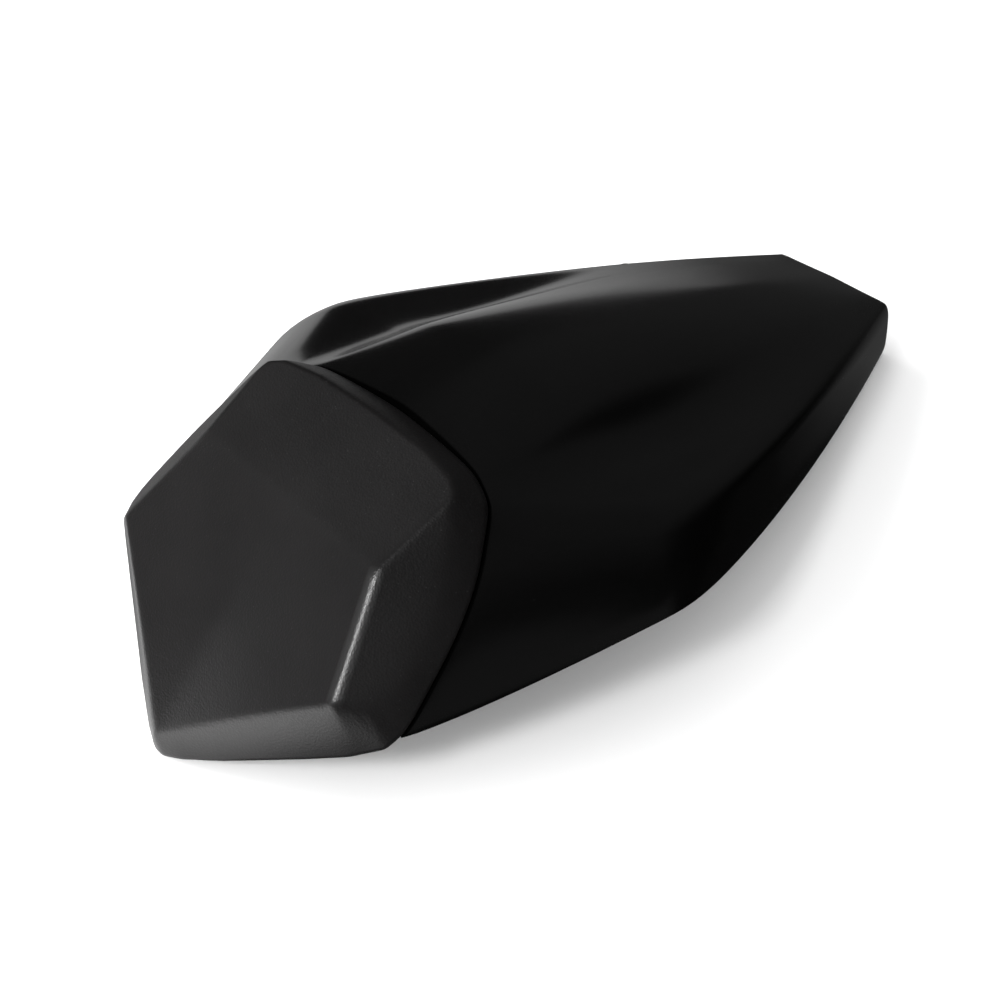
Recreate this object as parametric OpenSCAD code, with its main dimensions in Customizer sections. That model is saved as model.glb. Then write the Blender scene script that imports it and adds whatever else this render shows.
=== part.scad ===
// Single-seat cowl for the tail of a sports motorcycle: a gloss moulded shell with a faceted
// backrest pad, closed beneath by a ribbed pan that carries the latch striker and the hook.
// +Z is up, the rider side looks along -Y, and the cowl rests on the pad's point and its tail.

/* [Shell] */
// Width over the two wings at their lower edge
wing_width = 237; // [225:1:250]
// Width over the two upper ridges of the wings
ridge_width = 186; // [178:1:194]
// Width of the tail
tail_width = 66; // [58:1:76]
// Length from the pad's lowest point to the end of the tail
cowl_length = 404; // [390:1:420]
// Height of the crown above the surface that the cowl rests on
crown_height = 100; // [97:0.5:104]
// Height of the wings' ridges at their widest place
ridge_height = 78.5; // [76:0.5:81]
// Height of the lower edge at the widest place
rim_height = 58; // [55:0.5:61]
// Height of the tail
tail_height = 33.5; // [31:0.5:37]
// Width of the hump between the two valleys
hump_width = 110; // [104:1:116]
// Thickness of the moulded shell
shell_wall = 3; // [2.5:0.1:3.2]
// How soft the ridge is, as a length along the section on each side of it
ridge_round = 8; // [4:0.5:11]

/* [Joint between shell and pad] */
// Height of the crown above the line between the joint's top corners
crown_rise = 10.73; // [9.5:0.01:12]
// Width of the shell's top corners where it meets the pad
joint_top_width = 110; // [106:1:114]
// Width of the shell's lower corners where it meets the pad
joint_low_width = 164; // [160:1:168]
// Distance down the slope from the top corners to the lower corners
joint_side = 82; // [79:0.5:84]
// How far the top edge of the joint arches above its corners
joint_arch = 8; // [6:0.5:10]

/* [Pad] */
// Distance down the slope from the lower corners to the pad's point
pad_point = 63; // [60:0.5:65]
// Height of the pad's front ridge above its back
pad_depth = 23.5; // [20:0.5:26]
// Visible gap between the pad and the shell
pad_gap = 0.3; // [0.2:0.05:0.6]

/* [Pad carrier] */
// Thickness of the stiff plate in the back of the pad
carrier_thick = 3; // [2.5:0.1:4]
// How far the carrier stays inside the pad's outline
carrier_inset = 9; // [8:0.5:11]
// Thread diameter of the studs that hold the pad
pad_stud_d = 5; // [4:0.5:5]

/* [Base pan] */
// Thickness of the pan
pan_wall = 2.5; // [2:0.1:3]
// Height of the pan's edge above the shell's lower edge
pan_rise = 7; // [6:0.5:9]
// Gap between the pan's edge and the shell
pan_gap = 0.4; // [0.3:0.05:0.6]
// Height of the ribs under the pan
rib_height = 7; // [5:0.5:8]
// Thickness of the ribs
rib_wall = 2; // [1.6:0.1:2.6]
// Thread diameter of the screws between the pan and the shell
pan_screw_d = 4; // [3.5:0.5:4.5]

/* [Latch striker] */
// Diameter of the striker pin that the seat latch grips
striker_pin_d = 8; // [7:0.5:9]
// Free length of the pin between the bracket's ears
striker_gap = 26; // [22:1:30]
// Thickness of the steel bracket
striker_sheet = 3; // [2.5:0.5:3.5]
// Distance from the bracket's base to the centre of the pin
striker_drop = 22; // [19:0.5:24]
// Thread diameter of the bracket's bolts
striker_bolt_d = 6; // [5:1:6]

/* [Rear hook] */
// Width of the hook
hook_width = 36; // [30:1:42]
// Thickness of the hook's steel
hook_sheet = 3; // [2.5:0.5:3.5]
// How far the hook's lip reaches forward under the frame rail
hook_reach = 24; // [18:1:28]
// Depth of the hook from its base to the top of its lip
hook_drop = 9; // [8:0.5:10]

/* [Rubber buffers] */
// Diameter of the rubber buffers
buffer_d = 18; // [15:0.5:20]
// Height of the rubber buffers
buffer_height = 11; // [9:0.5:13]

/* [Hidden] */
$fn = 40;

// Where the main stations lie along the cowl; the pad's rounded face stands out ahead of its point
pad_overhang = 1.95;
front_y = (pad_overhang - cowl_length) / 2;
joint_z = crown_height - crown_rise;
joint_angle = asin(joint_z / (joint_side + pad_point));
joint_y = front_y + (joint_side + pad_point) * cos(joint_angle);
widest_y = front_y + cowl_length * 0.376;
tail_y = front_y + cowl_length;

function mix(a, b, f) = a + (b - a) * f;
function unit(v) = v / norm(v);
// A value that runs from a to b, early for a power under 1 and late for one above 1
function ease(a, b, f, power) = mix(a, b, pow(f, power));
// A point of the joint plane: across, up the slope, and out of the plane towards the rider
function on_joint(u, w, h) = [u,
    joint_y + w * cos(joint_angle) - h * sin(joint_angle),
    joint_z + w * sin(joint_angle) + h * cos(joint_angle)];
// One guide line: from the joint (s = -1) to the widest place (s = 0) and on to the tail (s = 1)
function guide(joint, widest, tail, front_power, rear_power, s) = [for (k = [0 : 2])
    s < 0 ? ease(joint[k], widest[k], 1 + s, front_power[k])
          : ease(widest[k], tail[k], min(1, s), rear_power[k])];

// The guide lines of the right half: crown, hump shoulder, valley, ridge, wall and lower edge
function crown(s) = guide(on_joint(0, joint_arch, 0), [0, widest_y + 19, crown_height],
    [0, tail_y - 8, tail_height + 0.6], [1, 1, 0.5], [1, 1, 1.3], s);
function shoulder(s) = guide(on_joint(joint_top_width * 0.36, joint_arch * 0.75, 0),
    [hump_width * 0.32, widest_y + 19, crown_height - 3.8],
    [tail_width * 0.3, tail_y - 8, tail_height], [1, 1, 0.6], [1.2, 1, 1.3], s);
function valley(s) = guide(on_joint(joint_top_width * 0.475, 0.8, 0),
    [hump_width / 2, widest_y + 17, ridge_height - 0.4],
    [tail_width * 0.36, tail_y - 8, tail_height], [1, 1, 1], [3.2, 1, 0.87], s);
// The valley runs out behind the wings: from its end on, its place is on the dome over the ridge
valley_start = 0.12;
valley_end = 0.75;
function open_valley(s) = let (
    f = max(0, min(1, (s - valley_start) / (valley_end - valley_start))), share = f * f * (3 - 2 * f))
    mix(valley(s), mix(shoulder(s), ridge(s), 0.5) + [0, 0, 0.3], share);
function ridge(s) = guide(on_joint(joint_top_width * 0.525, -3, 0),
    [ridge_width / 2, widest_y + 14, ridge_height],
    [tail_width / 2, tail_y - 7, tail_height - 1], [0.8, 1, 0.6], [1.55, 1, 0.965], s);
function wall_middle(s) = guide(on_joint(joint_low_width * 0.457, -joint_side * 0.4, 0),
    [(wing_width + ridge_width) / 4 + 1.5, widest_y + 7, (ridge_height + rim_height) / 2 + 1],
    [tail_width / 2 + 0.5, tail_y - 4, tail_height / 2], [0.9, 1, 1], [1.2, 1, 1], s);
function rim(s) = guide(on_joint(joint_low_width / 2, -joint_side, 0),
    [wing_width / 2, widest_y, rim_height],
    [tail_width / 2 - 1, tail_y, 0], [0.9, 1, 1.2], [1.22, 1, 1.03], s);

// The widest place is a corner of every guide line, so its value is averaged a little way round
soft_span = 0.07;
function softened(a, b, c) = (a + 2 * b + c) / 4;
function near(s, step) = s <= -1 + soft_span || s >= 1 - soft_span ? s : s + step;
function guides(s) = [crown(s), shoulder(s), open_valley(s), ridge(s), wall_middle(s), rim(s)];
function soft_guides(s) = let (a = guides(near(s, -soft_span)), b = guides(s),
    c = guides(near(s, soft_span))) [for (i = [0 : 5]) softened(a[i], b[i], c[i])];

// A rounded corner at b, starting the given shares of the way back to a and on to c
function corner(a, b, c, back, ahead, steps) = [for (i = [0 : steps]) let (
    f = i / steps, p = mix(b, a, back), q = mix(b, c, ahead))
    mix(mix(p, b, f), mix(b, q, f), f)];
function half_section(s) = let (g = soft_guides(s),
    ridge_back = min(0.45, ridge_round / norm(g[3] - g[2])),
    ridge_ahead = min(0.45, ridge_round / norm(g[4] - g[3])))
    concat([g[0]],
        corner(g[0], g[1], g[2], 0.8, 0.5, 5),
        corner(g[1], g[2], g[3], 0.42, 0.42, 4),
        corner(g[2], g[3], g[4], ridge_back, ridge_ahead, 4),
        corner(g[3], g[4], g[5], 0.5, 0.5, 3),
        [mix(g[4], g[5], 0.85), g[5]]);
function mirrored(p) = [-p[0], p[1], p[2]];
function section(s) = let (half = half_section(s), last = len(half) - 1)
    concat([for (i = [last : -1 : 1]) mirrored(half[i])], half);

front_steps = [-1, -0.86, -0.7, -0.55, -0.4, -0.27, -0.14, -0.07];
rear_steps = [0, 0.07, 0.14, 0.21, 0.28, 0.35, 0.42, 0.49, 0.56, 0.63, 0.7, 0.77, 0.84, 0.91,
    0.96, 1];
stations = concat(front_steps, rear_steps);
rings = [for (s = stations) section(s)];
ring_count = len(rings);
ring_size = len(rings[0]);

// Inner skin: every point of the outer skin moved inwards by the wall's thickness
function outward(i, j) = let (
    along = rings[min(i + 1, ring_count - 1)][j] - rings[max(i - 1, 0)][j],
    across = rings[i][min(j + 1, ring_size - 1)] - rings[i][max(j - 1, 0)])
    unit(cross(across, along));
joint_normal = [0, -sin(joint_angle), cos(joint_angle)];
function over_joint(p) = (p - on_joint(0, 0, 0)) * joint_normal;
// The first inner ring is slid along the wall into the joint plane, and the last one forward
function inner_point(i, j) = let (p = rings[i][j] - outward(i, j) * shell_wall,
    along = unit(rings[1][j] - rings[0][j]))
    i == 0 ? p - along * over_joint(p) / (along * joint_normal)
        : i == ring_count - 1 ? p - [0, shell_wall, 0] : p;
function above_ground(p) = [p[0], p[1], max(0, p[2])];
inner_rings = [for (i = [0 : ring_count - 1]) [for (j = [0 : ring_size - 1]) above_ground(inner_point(i, j))]];

// Outline of the joint, right half from the crown to the lower corner and on to the pad's point
function flat_in_joint(p) = [p[0], (p[1] - joint_y) * cos(joint_angle) + (p[2] - joint_z) * sin(joint_angle)];
low_half = joint_low_width / 2;
joint_half = concat([for (p = half_section(-1)) flat_in_joint(p)],
    [for (p = [[0.963, 0.095], [0.841, 0.257], [0.671, 0.429], [0.32, 0.767], [0.126, 0.933], [0.03, 0.995]])
        [low_half * p[0], -joint_side - pad_point * p[1]]]);
half_count = len(joint_half);
function mirrored_half(half) = concat(half, [for (i = [len(half) - 1 : -1 : 1]) [-half[i][0], half[i][1]]]);
// Inward direction at a point of the half outline
function inward(i) = let (
    before = i == 0 ? [-joint_half[1][0], joint_half[1][1]] : joint_half[i - 1],
    after = i == half_count - 1 ? [-joint_half[i][0], joint_half[i][1]] : joint_half[i + 1],
    d = unit(after - before)) [d[1], -d[0]];
function inset_half(inset) = [for (i = [0 : half_count - 1]) joint_half[i] + inward(i) * inset];
// A smaller copy of the outline, drawn in towards its middle until its widest place is inset
outline_middle = [0, -(joint_side + pad_point) * 0.43];
function drawn_in_half(inset) = [for (p = joint_half) mix(p, outline_middle, inset / low_half)];
// The panel stays further inside along the pad's point, so that it keeps clear of the ground
panel_low_inset = 6.5;
function panel_half() = [for (i = [0 : half_count - 1])
    joint_half[i] + inward(i) * (joint_half[i][1] < -joint_side ? panel_low_inset : shell_wall * 0.4)];

module in_joint_plane(h) {
    translate([0, joint_y, joint_z]) rotate([joint_angle, 0, 0]) translate([0, 0, h]) children();
}

// Front panel of the shell, on which the pad sits, and the studs that hold the pad
panel_wall = shell_wall;
panel_sink = 0.6;
carrier_low = -panel_sink;
hole_clearance = 0.4;
recess_slack = 0.2;
pad_stud_places = [[34, -26], [-34, -26], [40, -78], [-40, -78]];
pad_washer_thick = 1.2;
pad_washer_d = pad_stud_d * 2;
pad_nut_height = pad_stud_d * 0.8;
stud_head_thick = 1.2;
stud_head_d = pad_stud_d * 2;
stud_low = -panel_sink - panel_wall - pad_washer_thick - pad_nut_height - 1.5;
stud_length = carrier_low + carrier_thick - stud_low;

// Screws that join the pan to the bosses under the wings: [place along, place across the wing]
wing_screws = [[-0.42, 0.5], [0.25, 0.5], [0.6, 0.5]];
boss_d = pan_screw_d + 5;
function wing_point(s, f) = let (g = soft_guides(s)) mix(g[2], g[3], f);

// Edge of the pan, which follows the wall a set height above the shell's lower edge
function pan_edge(s) = let (g = soft_guides(s), step = 0.01,
    along = soft_guides(min(1, s + step))[5] - soft_guides(s - step)[5],
    out = unit(cross(g[5] - g[4], along)))
    mix(g[5], g[4], pan_rise / norm(g[4] - g[5])) - out * (shell_wall + pan_gap);
pan_front = -0.86;
pan_back = 1 - (shell_wall * 2 + 2) / (tail_y - widest_y);
pan_stations = concat([pan_front], [for (s = stations) if (s > pan_front + 0.05 && s < pan_back - 0.02) s],
    [pan_back]);
pan_edges = [for (s = pan_stations) pan_edge(s)];
pan_last = len(pan_edges) - 1;
pan_plan = concat([for (p = pan_edges) [p[0], p[1]]],
    [for (i = [pan_last : -1 : 0]) [-pan_edges[i][0], pan_edges[i][1]]]);
pan_heights = [for (p = pan_edges) [p[1], p[2]]];
function pan_z(y) = lookup(y, pan_heights);

// A band that follows the pan's side view, from one depth below its top to another
module pan_band(upper, lower) {
    rotate([90, 0, 90]) linear_extrude(wing_width, center = true)
        polygon(concat([for (p = pan_heights) [p[0], p[1] - upper]],
            [for (i = [pan_last : -1 : 0]) [pan_heights[i][0], pan_heights[i][1] - lower]]));
}
module pan_trim(height) { linear_extrude(height) polygon(pan_plan); }

// The striker under the front of the pan
striker_y = mix(front_y, widest_y, 0.79);
striker_plate_depth = 34;
striker_bolt_gap = striker_gap + 2 * striker_sheet + striker_bolt_d * 3.4;
striker_plate_width = striker_bolt_gap + striker_bolt_d * 2.6;
striker_seat_z = pan_z(striker_y - striker_plate_depth / 2) - pan_wall - 4;
striker_pin_z = striker_seat_z - striker_sheet - striker_drop;
striker_nut_z = pan_z(striker_y + striker_bolt_d * 1.5) + 1;
striker_bolts_x = [-striker_bolt_gap / 2, striker_bolt_gap / 2];
bolt_head_height = striker_bolt_d * 0.65;
nut_height = striker_bolt_d * 0.8;
ear_depth = striker_pin_d + 12;
striker_end_d = striker_pin_d - 2;

// The hook under the rear of the pan: its plate reaches from the screws back to the bend
hook_y = mix(widest_y, tail_y, 0.69);
hook_plate_front = 27;
hook_plate_back = 13;
hook_seat_z = pan_z(hook_y + hook_plate_back) - pan_wall - 1.5;
hook_screw_d = 5;
hook_screw_y = hook_y - hook_plate_front + 8;
hook_screws_x = [-hook_width * 0.28, hook_width * 0.28];
hook_screw_length = 9;

// Places of the rubber buffers
front_buffer_place = [joint_low_width * 0.366, mix(front_y, widest_y, 0.658)];
rear_buffer_place = [tail_width * 0.7, mix(widest_y, tail_y, 0.444)];
buffer_seat_d = buffer_d + 3;
buffer_stem_d = 6;
buffer_cap_d = buffer_stem_d + 3;
function low_side(place) = place[1] < widest_y ? -1 : 1;
function buffer_seat_z(place) = pan_z(place[1] + low_side(place) * buffer_seat_d / 2) - pan_wall - 1;
function buffer_cap_z(place) = pan_z(place[1] - low_side(place) * buffer_cap_d / 2) + 0.2;

// The rows of quads and triangles that close a loft of equal rings
function at(i, j) = i * ring_size + j;
inner_start = ring_count * ring_size;
last_ring = ring_count - 1;
last_point = ring_size - 1;
middle_point = last_point / 2;
skin_faces = [for (i = [0 : last_ring - 1], j = [0 : last_point - 1]) each [
    [at(i, j), at(i + 1, j), at(i + 1, j + 1)], [at(i, j), at(i + 1, j + 1), at(i, j + 1)],
    [inner_start + at(i, j), inner_start + at(i + 1, j + 1), inner_start + at(i + 1, j)],
    [inner_start + at(i, j), inner_start + at(i, j + 1), inner_start + at(i + 1, j + 1)]]];
edge_faces = [for (i = [0 : last_ring - 1]) each [
    [at(i + 1, 0), at(i, 0), inner_start + at(i, 0)],
    [at(i + 1, 0), inner_start + at(i, 0), inner_start + at(i + 1, 0)],
    [at(i, last_point), at(i + 1, last_point), inner_start + at(i + 1, last_point)],
    [at(i, last_point), inner_start + at(i + 1, last_point), inner_start + at(i, last_point)]]];
front_faces = [for (j = [0 : last_point - 1]) each [
    [at(0, j), at(0, j + 1), inner_start + at(0, j + 1)],
    [at(0, j), inner_start + at(0, j + 1), inner_start + at(0, j)]]];
function tail_point(j) = at(last_ring, j);
tail_faces = concat(
    [for (j = [0 : middle_point - 2]) each [
        [tail_point(j + 1), tail_point(j), tail_point(last_point - j)],
        [tail_point(j + 1), tail_point(last_point - j), tail_point(last_point - j - 1)],
        [inner_start + tail_point(j), inner_start + tail_point(j + 1),
         inner_start + tail_point(last_point - j - 1)],
        [inner_start + tail_point(j), inner_start + tail_point(last_point - j - 1),
         inner_start + tail_point(last_point - j)]]],
    [[tail_point(middle_point), tail_point(middle_point - 1), tail_point(middle_point + 1)],
     [inner_start + tail_point(middle_point - 1), inner_start + tail_point(middle_point),
      inner_start + tail_point(middle_point + 1)],
     [tail_point(last_point), tail_point(0), inner_start + tail_point(0)],
     [tail_point(last_point), inner_start + tail_point(0), inner_start + tail_point(last_point)]]);

module shell_skin() {
    polyhedron(points = concat([for (r = rings) each r], [for (r = inner_rings) each r]),
        faces = concat(skin_faces, edge_faces, front_faces, tail_faces));
}

// Both mirror images of what stands on the right
module both_sides() {
    children();
    mirror([1, 0, 0]) children();
}

function boss_bottom(s, f) = pan_z(wing_point(s, f)[1]) + boss_d * 0.25;
pilot_depth = 11;
module wing_boss(place) {
    p = wing_point(place[0], place[1]);
    low = boss_bottom(place[0], place[1]);
    translate([p[0], p[1], low]) cylinder(d = boss_d, h = p[2] - low - shell_wall * 0.62);
}
module wing_boss_pilot(place) {
    p = wing_point(place[0], place[1]);
    translate([p[0], p[1], boss_bottom(place[0], place[1]) - 1])
        cylinder(d = pan_screw_d + 0.1, h = pilot_depth + 1, $fn = 24);
}

module outer_shell() {
    color([0.03, 0.03, 0.03]) difference() {
        union() {
            shell_skin();
            in_joint_plane(-panel_sink - panel_wall) linear_extrude(panel_wall)
                polygon(mirrored_half(panel_half()));
            both_sides() for (place = wing_screws) wing_boss(place);
        }
        both_sides() for (place = wing_screws) wing_boss_pilot(place);
        in_joint_plane(-panel_sink - panel_wall - 1) for (place = pad_stud_places) translate(place)
            cylinder(d = pad_stud_d + 2 * hole_clearance, h = panel_wall + 2, $fn = 24);
    }
}

// How far the pad's front edge lies inside its back, and how high over it, down its sides
front_edge_inset = [[-joint_side * 0.9, 6], [-joint_side * 0.75, 7], [-joint_side * 0.4, 8.8],
    [-joint_side * 0.18, 7.5], [0, 5.8], [joint_arch, 6.2]];
front_edge_height = [[-joint_side * 0.9, 0.42], [-joint_side * 0.75, 0.45], [-joint_side * 0.4, 0.5],
    [-joint_side * 0.18, 0.56], [0, 0.6], [joint_arch, 0.56]];
low_corner = [low_half - 18.6, -joint_side - 3.4, pad_depth * 0.82];
front_point = [0.5, -joint_side - pad_point * 0.89, pad_depth * 0.35];
function front_half() = [for (i = [0 : half_count - 1]) let (w = joint_half[i][1],
    p = joint_half[i] + inward(i) * lookup(w, front_edge_inset))
    w <= -joint_side ? mix(low_corner, front_point, 1 - joint_half[i][0] / low_half)
        : [i == 0 ? 0 : p[0], p[1], lookup(w, front_edge_height) * pad_depth]];
function back_half() = [for (p = inset_half(0.15)) [p[0], p[1], pad_gap]];
// The rim swells most below the lower corners
function bulge_half(back, front) = [for (i = [0 : half_count - 1]) let (p = mix(back[i], front[i], 0.5),
    swell = joint_half[i][1] <= -joint_side ? 1.6 : 0.8,
    out = inward(i) * -swell) [i == 0 ? 0 : p[0] + out[0], p[1] + out[1], p[2] + swell]];
function full_ring(half) = concat(half, [for (i = [half_count - 1 : -1 : 1]) [-half[i][0], half[i][1], half[i][2]]]);
pad_ring_size = 2 * half_count - 1;

module pad_body() {
    back = back_half();
    front = front_half();
    crease_w = -joint_side * 0.5;
    crease_x = joint_top_width * 0.45;
    floor_height = carrier_low + carrier_thick + recess_slack;
    recess = drawn_in_half(carrier_inset - recess_slack);
    recess_edge = [for (p = recess) [p[0], p[1], pad_gap]];
    recess_floor = [for (p = recess) [p[0], p[1], floor_height]];
    points = concat(full_ring(recess_floor), full_ring(recess_edge), full_ring(back),
        full_ring(bulge_half(back, front)), full_ring(front), [[crease_x, crease_w, pad_depth], [0, crease_w, pad_depth - 1], [-crease_x, crease_w, pad_depth]]);
    n = pad_ring_size;
    right = 5 * n;
    top = 4 * n;
    centre = right + 1;
    left = right + 2;
    side_faces = [for (k = [0 : 3], i = [0 : n - 1]) let (next = (i + 1) % n) each [
        [k * n + i, (k + 1) * n + next, (k + 1) * n + i], [k * n + i, k * n + next, (k + 1) * n + next]]];
    right_fan = [for (i = [0 : half_count - 2]) [top + i, top + i + 1, right]];
    left_fan = [for (i = [half_count : n - 1]) [top + i, top + (i + 1) % n, left]];
    middle = [[top, centre, left], [top, right, centre], [right, top + half_count - 1, centre],
        [centre, top + half_count, left], [centre, top + half_count - 1, top + half_count]];
    back_faces = concat([[0, n - 1, 1]], [for (i = [1 : half_count - 2]) each [
        [i, n - i, i + 1], [i + 1, n - i, n - i - 1]]]);
    in_joint_plane(0) polyhedron(points = points,
        faces = concat(side_faces, right_fan, left_fan, middle, back_faces));
}

module backrest_pad() {
    color([0.16, 0.16, 0.16]) pad_body();
}

// Stiff plate in the pad's recess, with sunk seats for the heads of the studs
module pad_carrier() {
    color([0.1, 0.1, 0.1]) in_joint_plane(carrier_low) difference() {
        linear_extrude(carrier_thick) polygon(mirrored_half(drawn_in_half(carrier_inset)));
        for (place = pad_stud_places) translate(place) {
            translate([0, 0, -1]) cylinder(d = pad_stud_d, h = carrier_thick + 2);
            translate([0, 0, carrier_thick - stud_head_thick]) cylinder(d = stud_head_d, h = 2);
        }
    }
}

module pad_studs() {
    color("silver") in_joint_plane(stud_low)
        for (place = pad_stud_places) translate(place) {
            cylinder(d = pad_stud_d, h = stud_length);
            translate([0, 0, stud_length - stud_head_thick]) cylinder(d = stud_head_d, h = stud_head_thick);
        }
}

module pad_washers() {
    color("silver") in_joint_plane(-panel_sink - panel_wall - pad_washer_thick)
        for (place = pad_stud_places) translate(place) difference() {
            cylinder(d = pad_washer_d, h = pad_washer_thick);
            translate([0, 0, -1]) cylinder(d = pad_stud_d + 0.4, h = pad_washer_thick + 2);
        }
}

module pad_nuts() {
    color("silver") in_joint_plane(-panel_sink - panel_wall - pad_washer_thick - pad_nut_height)
        for (place = pad_stud_places) translate(place) difference() {
            cylinder(d = pad_stud_d * 1.85, h = pad_nut_height, $fn = 6);
            translate([0, 0, -1]) cylinder(d = pad_stud_d + 0.1, h = pad_nut_height + 2);
        }
}

module pan_head_screw(d, head_height, length) {
    difference() {
        translate([0, 0, -head_height]) cylinder(d = d * 1.9, h = head_height);
        translate([0, 0, -head_height - 1]) cylinder(d = d * 0.8, h = head_height * 0.6 + 1, $fn = 6);
    }
    cylinder(d = d, h = length);
}

// A level seat under the sloping pan
module buffer_seat(place) {
    intersection() {
        translate([place[0], place[1], buffer_seat_z(place)]) cylinder(d = buffer_seat_d, h = crown_height);
        pan_band(pan_wall / 2, crown_height);
    }
}

post_d = pan_screw_d * 1.9 + 5;
post_floor = 3;
module pan_post(place) {
    p = wing_point(place[0], place[1]);
    top = boss_bottom(place[0], place[1]);
    translate([p[0], p[1], pan_z(p[1]) - pan_wall - 2.5])
        cylinder(d = post_d, h = top - pan_z(p[1]) + pan_wall + 2.5);
}
module pan_post_hole(place) {
    p = wing_point(place[0], place[1]);
    top = boss_bottom(place[0], place[1]);
    translate([p[0], p[1], top - 20]) {
        cylinder(d = post_d - 3, h = 20 - post_floor);
        cylinder(d = pan_screw_d + 0.5, h = 21);
    }
}

// Ribs: two along the pan, and rows across it, all cut away where something is bolted on
rib_rows = 7;
rib_from = mix(front_y, widest_y, 0.513);
rib_to = mix(widest_y, tail_y, 0.619);
rib_lines_x = [-hook_width / 2 - 6, hook_width / 2 + 6];
module pan_ribs() {
    intersection() {
        pan_band(pan_wall / 2, pan_wall + rib_height);
        linear_extrude(crown_height) difference() {
            intersection() {
                polygon([for (p = pan_plan) [p[0] * 0.94, p[1]]]);
                union() {
                    for (x = rib_lines_x) translate([x - rib_wall / 2, rib_from])
                        square([rib_wall, rib_to - rib_from]);
                    for (i = [0 : rib_rows - 1]) translate([-wing_width / 2,
                        mix(rib_from, rib_to - rib_wall, i / (rib_rows - 1))]) square([wing_width, rib_wall]);
                }
            }
            translate([0, striker_y]) square([striker_plate_width + 2, striker_plate_depth + 2], center = true);
            for (place = [front_buffer_place, rear_buffer_place], side = [-1, 1])
                translate([side * place[0], place[1]]) circle(d = buffer_d + 2);
        }
    }
}

module base_pan() {
    color([0.12, 0.12, 0.12]) difference() {
        union() {
            intersection() {
                pan_band(0, pan_wall);
                pan_trim(crown_height);
            }
            pan_ribs();
            both_sides() for (place = wing_screws) pan_post(place);
            intersection() {
                translate([-striker_plate_width / 2 - 2, striker_y - striker_plate_depth / 2 - 2, striker_seat_z])
                    cube([striker_plate_width + 4, striker_plate_depth + 4, crown_height]);
                pan_band(pan_wall / 2, crown_height);
            }
            for (x = striker_bolts_x) translate([x, striker_y, striker_seat_z])
                cylinder(d = striker_bolt_d * 2.6, h = striker_nut_z - striker_seat_z);
            intersection() {
                translate([-hook_width / 2 - 2, hook_y - hook_plate_front - 2, hook_seat_z])
                    cube([hook_width + 4, hook_plate_front + hook_plate_back + 4, crown_height]);
                pan_band(pan_wall / 2, crown_height);
            }
            for (x = hook_screws_x) translate([x, hook_screw_y, hook_seat_z])
                cylinder(d = hook_screw_d * 2, h = hook_screw_length + 1.5);
            both_sides() for (place = [front_buffer_place, rear_buffer_place]) buffer_seat(place);
        }
        both_sides() {
            for (place = wing_screws) pan_post_hole(place);
            for (place = [front_buffer_place, rear_buffer_place])
                translate([place[0], place[1], 0]) cylinder(d = buffer_stem_d + 0.2, h = crown_height);
        }
        for (x = striker_bolts_x) translate([x, striker_y, 0])
            cylinder(d = striker_bolt_d + 2 * hole_clearance, h = crown_height);
        for (x = hook_screws_x) translate([x, hook_screw_y, hook_seat_z - 1])
            cylinder(d = hook_screw_d + 0.1, h = hook_screw_length + 1);
    }
}

module base_screws() {
    color("dimgray") both_sides() for (place = wing_screws) {
        p = wing_point(place[0], place[1]);
        translate([p[0], p[1], boss_bottom(place[0], place[1]) - post_floor])
            pan_head_screw(pan_screw_d, pan_screw_d * 0.55, post_floor + 9);
    }
}

module striker_bracket() {
    ear_x = striker_gap / 2;
    color("silver") difference() {
        union() {
            translate([-striker_plate_width / 2, striker_y - striker_plate_depth / 2, striker_seat_z - striker_sheet])
                cube([striker_plate_width, striker_plate_depth, striker_sheet]);
            for (x = [-ear_x - striker_sheet, ear_x]) {
                translate([x, striker_y - ear_depth / 2, striker_pin_z])
                    cube([striker_sheet, ear_depth, striker_seat_z - striker_sheet - striker_pin_z]);
                translate([x, striker_y, striker_pin_z]) rotate([0, 90, 0])
                    cylinder(d = ear_depth, h = striker_sheet);
            }
        }
        translate([-wing_width / 2, striker_y, striker_pin_z]) rotate([0, 90, 0])
            cylinder(d = striker_end_d, h = wing_width);
        for (x = striker_bolts_x) translate([x, striker_y, 0])
            cylinder(d = striker_bolt_d + 2 * hole_clearance, h = crown_height);
    }
}

// The pin is full size between the ears and has thinner ends, riveted over outside them
module striker_pin() {
    end_length = striker_sheet + 1.5;
    color("lightgray") translate([0, striker_y, striker_pin_z]) rotate([0, 90, 0]) {
        translate([0, 0, -striker_gap / 2]) cylinder(d = striker_pin_d, h = striker_gap);
        for (side = [-1, 1]) translate([0, 0, side * striker_gap / 2]) mirror([0, 0, side < 0 ? 1 : 0]) {
            translate([0, 0, -1]) cylinder(d = striker_end_d, h = end_length + 1);
            translate([0, 0, striker_sheet]) cylinder(d = striker_end_d + 4, h = 1.5);
        }
    }
}

module striker_bolts() {
    color("silver") for (x = striker_bolts_x)
        translate([x, striker_y, striker_seat_z - striker_sheet]) {
            translate([0, 0, -bolt_head_height]) cylinder(d = striker_bolt_d * 1.8, h = bolt_head_height, $fn = 6);
            translate([0, 0, -1.2]) cylinder(d = striker_bolt_d * 2.2, h = 1.2);
            cylinder(d = striker_bolt_d, h = striker_nut_z - striker_seat_z + striker_sheet + nut_height + 2);
        }
}

module striker_nuts() {
    color("silver") for (x = striker_bolts_x) translate([x, striker_y, striker_nut_z]) difference() {
        union() {
            cylinder(d = striker_bolt_d * 1.85, h = nut_height, $fn = 6);
            cylinder(d = striker_bolt_d * 2.2, h = 1.2);
        }
        translate([0, 0, -1]) cylinder(d = striker_bolt_d + 0.1, h = nut_height + 2);
    }
}

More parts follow.
